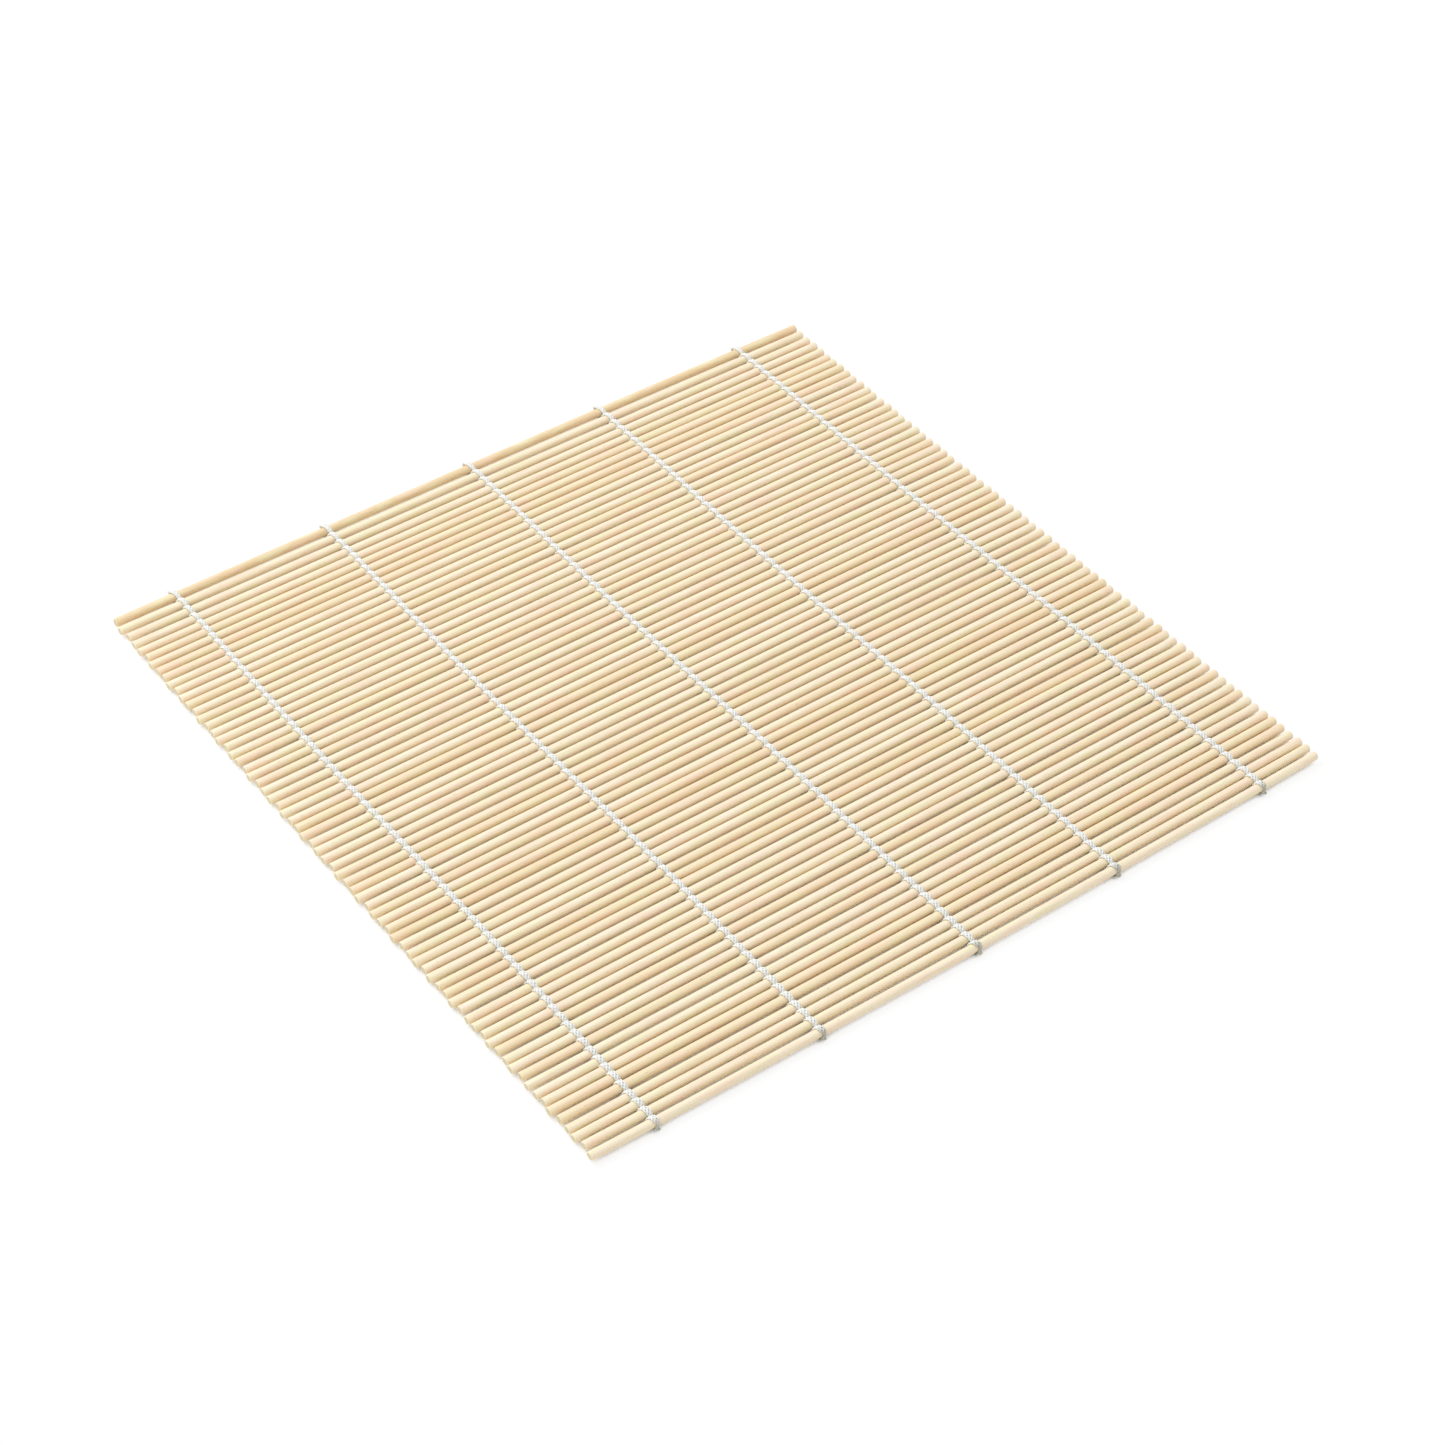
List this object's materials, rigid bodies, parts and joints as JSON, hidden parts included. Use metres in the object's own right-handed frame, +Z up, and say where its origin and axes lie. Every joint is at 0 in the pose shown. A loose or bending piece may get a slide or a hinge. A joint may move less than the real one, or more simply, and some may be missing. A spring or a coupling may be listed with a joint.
{
  "type": "sushi rolling mat",
  "caption": "Square sushi rolling mat of slim round bamboo sticks, twined side by side with rows of white cotton string, that lies flat and rolls up either way.",
  "frame": {"origin": "centre of the mat's outline, on the surface that it lies on", "axes": "+X along the sticks, +Y from the knotted near edge to the looped far edge, +Z up"},
  "size_m": [0.2425, 0.2394, 0.0038],
  "materials": {
    "bamboo": "smooth unlacquered bamboo",
    "cotton": "white two-ply cotton string"
  },
  "bodies": {
    "panel_01_to_03": {"sticks_01_to_03": "bamboo", "stitches_01_to_03": "cotton"},
    "panel_04_to_06": {"sticks_04_to_06": "bamboo", "stitches_04_to_06": "cotton"},
    "panel_07_to_09": {"sticks_07_to_09": "bamboo", "stitches_07_to_09": "cotton"},
    "panel_10_to_12": {"sticks_10_to_12": "bamboo", "stitches_10_to_12": "cotton"},
    "panel_13_to_15": {"sticks_13_to_15": "bamboo", "stitches_13_to_15": "cotton"},
    "panel_16_to_18": {"sticks_16_to_18": "bamboo", "stitches_16_to_18": "cotton"},
    "panel_19_to_21": {"sticks_19_to_21": "bamboo", "stitches_19_to_21": "cotton"},
    "panel_22_to_24": {"sticks_22_to_24": "bamboo", "stitches_22_to_24": "cotton"},
    "panel_25_to_27": {"sticks_25_to_27": "bamboo", "stitches_25_to_27": "cotton"},
    "panel_28_to_30": {"sticks_28_to_30": "bamboo", "stitches_28_to_30": "cotton"},
    "panel_31_to_33": {"sticks_31_to_33": "bamboo", "stitches_31_to_33": "cotton"},
    "panel_34_to_36": {"sticks_34_to_36": "bamboo", "stitches_34_to_36": "cotton"},
    "panel_37_to_38": {"sticks_37_to_38": "bamboo", "stitches_37_to_38": "cotton"},
    "panel_39_to_40": {"sticks_39_to_40": "bamboo", "stitches_39_to_40": "cotton"},
    "panel_41_to_42": {"sticks_41_to_42": "bamboo", "stitches_41_to_42": "cotton"},
    "panel_43_to_44": {"sticks_43_to_44": "bamboo", "stitches_43_to_44": "cotton"},
    "panel_45_to_46": {"sticks_45_to_46": "bamboo", "stitches_45_to_46": "cotton"},
    "panel_47_to_48": {"sticks_47_to_48": "bamboo", "stitches_47_to_48": "cotton"},
    "panel_49_to_50": {"sticks_49_to_50": "bamboo", "stitches_49_to_50": "cotton"},
    "panel_51_to_52": {"sticks_51_to_52": "bamboo", "stitches_51_to_52": "cotton"},
    "panel_53_to_54": {"sticks_53_to_54": "bamboo", "stitches_53_to_54": "cotton"},
    "panel_55_to_56": {"sticks_55_to_56": "bamboo", "stitches_55_to_56": "cotton"},
    "panel_57_to_58": {"sticks_57_to_58": "bamboo", "stitches_57_to_58": "cotton"},
    "panel_59_to_60": {"sticks_59_to_60": "bamboo", "stitches_59_to_60": "cotton"},
    "panel_61_to_62": {"sticks_61_to_62": "bamboo", "stitches_61_to_62": "cotton"},
    "panel_63_to_64": {"sticks_63_to_64": "bamboo", "stitches_63_to_64": "cotton"},
    "panel_65_to_66": {"sticks_65_to_66": "bamboo", "stitches_65_to_66": "cotton"},
    "panel_67_to_68": {"sticks_67_to_68": "bamboo", "stitches_67_to_68": "cotton"},
    "panel_69_to_70": {"sticks_69_to_70": "bamboo", "stitches_69_to_70": "cotton", "near_edge_knots": "cotton"}
  },
  "joints": [
    {"name": "bend_03_04", "type": "hinge", "parent": "panel_01_to_03", "child": "panel_04_to_06", "pos_m": [0, 0.10892, 0.00186], "axis": [-1, 0, 0], "range_deg": [-25, 25]},
    {"name": "bend_06_07", "type": "hinge", "parent": "panel_04_to_06", "child": "panel_07_to_09", "pos_m": [0, 0.09881, 0.00186], "axis": [-1, 0, 0], "range_deg": [-25.5, 25.5]},
    {"name": "bend_09_10", "type": "hinge", "parent": "panel_07_to_09", "child": "panel_10_to_12", "pos_m": [0, 0.0887, 0.00186], "axis": [-1, 0, 0], "range_deg": [-25.5, 25.5]},
    {"name": "bend_12_13", "type": "hinge", "parent": "panel_10_to_12", "child": "panel_13_to_15", "pos_m": [0, 0.07859, 0.00186], "axis": [-1, 0, 0], "range_deg": [-26, 26]},
    {"name": "bend_15_16", "type": "hinge", "parent": "panel_13_to_15", "child": "panel_16_to_18", "pos_m": [0, 0.06848, 0.00186], "axis": [-1, 0, 0], "range_deg": [-26.5, 26.5]},
    {"name": "bend_18_19", "type": "hinge", "parent": "panel_16_to_18", "child": "panel_19_to_21", "pos_m": [0, 0.05837, 0.00186], "axis": [-1, 0, 0], "range_deg": [-27, 27]},
    {"name": "bend_21_22", "type": "hinge", "parent": "panel_19_to_21", "child": "panel_22_to_24", "pos_m": [0, 0.04826, 0.00186], "axis": [-1, 0, 0], "range_deg": [-27.5, 27.5]},
    {"name": "bend_24_25", "type": "hinge", "parent": "panel_22_to_24", "child": "panel_25_to_27", "pos_m": [0, 0.03815, 0.00186], "axis": [-1, 0, 0], "range_deg": [-28, 28]},
    {"name": "bend_27_28", "type": "hinge", "parent": "panel_25_to_27", "child": "panel_28_to_30", "pos_m": [0, 0.02804, 0.00186], "axis": [-1, 0, 0], "range_deg": [-29, 29]},
    {"name": "bend_30_31", "type": "hinge", "parent": "panel_28_to_30", "child": "panel_31_to_33", "pos_m": [0, 0.01793, 0.00186], "axis": [-1, 0, 0], "range_deg": [-29.5, 29.5]},
    {"name": "bend_33_34", "type": "hinge", "parent": "panel_31_to_33", "child": "panel_34_to_36", "pos_m": [0, 0.00782, 0.00186], "axis": [-1, 0, 0], "range_deg": [-30, 30]},
    {"name": "bend_36_37", "type": "hinge", "parent": "panel_34_to_36", "child": "panel_37_to_38", "pos_m": [0, -0.00229, 0.00186], "axis": [-1, 0, 0], "range_deg": [-25.5, 25.5]},
    {"name": "bend_38_39", "type": "hinge", "parent": "panel_37_to_38", "child": "panel_39_to_40", "pos_m": [0, -0.00903, 0.00186], "axis": [-1, 0, 0], "range_deg": [-20.5, 20.5]},
    {"name": "bend_40_41", "type": "hinge", "parent": "panel_39_to_40", "child": "panel_41_to_42", "pos_m": [0, -0.01577, 0.00186], "axis": [-1, 0, 0], "range_deg": [-21, 21]},
    {"name": "bend_42_43", "type": "hinge", "parent": "panel_41_to_42", "child": "panel_43_to_44", "pos_m": [0, -0.02251, 0.00186], "axis": [-1, 0, 0], "range_deg": [-21.5, 21.5]},
    {"name": "bend_44_45", "type": "hinge", "parent": "panel_43_to_44", "child": "panel_45_to_46", "pos_m": [0, -0.02925, 0.00186], "axis": [-1, 0, 0], "range_deg": [-22, 22]},
    {"name": "bend_46_47", "type": "hinge", "parent": "panel_45_to_46", "child": "panel_47_to_48", "pos_m": [0, -0.03599, 0.00186], "axis": [-1, 0, 0], "range_deg": [-22, 22]},
    {"name": "bend_48_49", "type": "hinge", "parent": "panel_47_to_48", "child": "panel_49_to_50", "pos_m": [0, -0.04273, 0.00186], "axis": [-1, 0, 0], "range_deg": [-22.5, 22.5]},
    {"name": "bend_50_51", "type": "hinge", "parent": "panel_49_to_50", "child": "panel_51_to_52", "pos_m": [0, -0.04947, 0.00186], "axis": [-1, 0, 0], "range_deg": [-23, 23]},
    {"name": "bend_52_53", "type": "hinge", "parent": "panel_51_to_52", "child": "panel_53_to_54", "pos_m": [0, -0.05621, 0.00186], "axis": [-1, 0, 0], "range_deg": [-23.5, 23.5]},
    {"name": "bend_54_55", "type": "hinge", "parent": "panel_53_to_54", "child": "panel_55_to_56", "pos_m": [0, -0.06295, 0.00186], "axis": [-1, 0, 0], "range_deg": [-24, 24]},
    {"name": "bend_56_57", "type": "hinge", "parent": "panel_55_to_56", "child": "panel_57_to_58", "pos_m": [0, -0.06969, 0.00186], "axis": [-1, 0, 0], "range_deg": [-24.5, 24.5]},
    {"name": "bend_58_59", "type": "hinge", "parent": "panel_57_to_58", "child": "panel_59_to_60", "pos_m": [0, -0.07643, 0.00186], "axis": [-1, 0, 0], "range_deg": [-25.5, 25.5]},
    {"name": "bend_60_61", "type": "hinge", "parent": "panel_59_to_60", "child": "panel_61_to_62", "pos_m": [0, -0.08317, 0.00186], "axis": [-1, 0, 0], "range_deg": [-26, 26]},
    {"name": "bend_62_63", "type": "hinge", "parent": "panel_61_to_62", "child": "panel_63_to_64", "pos_m": [0, -0.08991, 0.00186], "axis": [-1, 0, 0], "range_deg": [-26.5, 26.5]},
    {"name": "bend_64_65", "type": "hinge", "parent": "panel_63_to_64", "child": "panel_65_to_66", "pos_m": [0, -0.09665, 0.00186], "axis": [-1, 0, 0], "range_deg": [-27.5, 27.5]},
    {"name": "bend_66_67", "type": "hinge", "parent": "panel_65_to_66", "child": "panel_67_to_68", "pos_m": [0, -0.10339, 0.00186], "axis": [-1, 0, 0], "range_deg": [-28, 28]},
    {"name": "bend_68_69", "type": "hinge", "parent": "panel_67_to_68", "child": "panel_69_to_70", "pos_m": [0, -0.11013, 0.00186], "axis": [-1, 0, 0], "range_deg": [-29, 29]}
  ]
}
